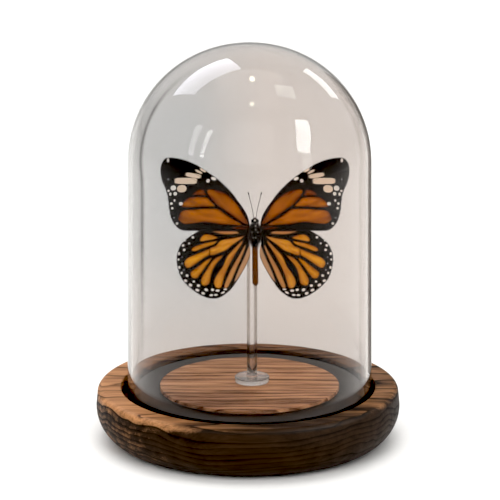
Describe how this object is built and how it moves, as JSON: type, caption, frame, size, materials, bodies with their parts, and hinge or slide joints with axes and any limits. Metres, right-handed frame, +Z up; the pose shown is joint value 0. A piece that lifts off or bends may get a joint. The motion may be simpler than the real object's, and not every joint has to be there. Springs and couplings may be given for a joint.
{
  "type": "insect in glass dome",
  "caption": "A spread orange and black butterfly on a clear rod, under a round-topped glass dome that stands in the recess of a dark turned wooden base.",
  "frame": {"origin": "centre of the base's flat underside", "axes": "+Z up along the dome's axis, -Y towards the side that the butterfly's upper side faces, +X to the right seen from there"},
  "size_m": [0.1366, 0.1366, 0.1855],
  "materials": {
    "charred_wood": "charred and brushed softwood with a thin satin coat",
    "black_stain": "matte black stained wood",
    "disc_wood": "oiled softwood, satin",
    "dome_glass": "clear blown glass, polished",
    "clear_acrylic": "clear acrylic, polished",
    "forewing_scales": "matte wing scales, orange with black margins and veins and cream spots",
    "hindwing_scales": "matte wing scales, yellow-orange with black veins and a white-dotted black margin",
    "body_chitin": "dark haired body with white spots and a brown abdomen",
    "antenna_chitin": "satin dark brown"
  },
  "bodies": {
    "root": {"wooden_base": "charred_wood", "black_plinth": "black_stain", "centre_disc": "disc_wood", "glass_dome": "dome_glass", "stand_foot": "clear_acrylic", "stand_rod": "clear_acrylic", "butterfly_body": "body_chitin", "forewing_left": "forewing_scales", "forewing_right": "forewing_scales", "hindwing_left": "hindwing_scales", "hindwing_right": "hindwing_scales", "antenna_left": "antenna_chitin", "antenna_right": "antenna_chitin"}
  },
  "joints": []
}
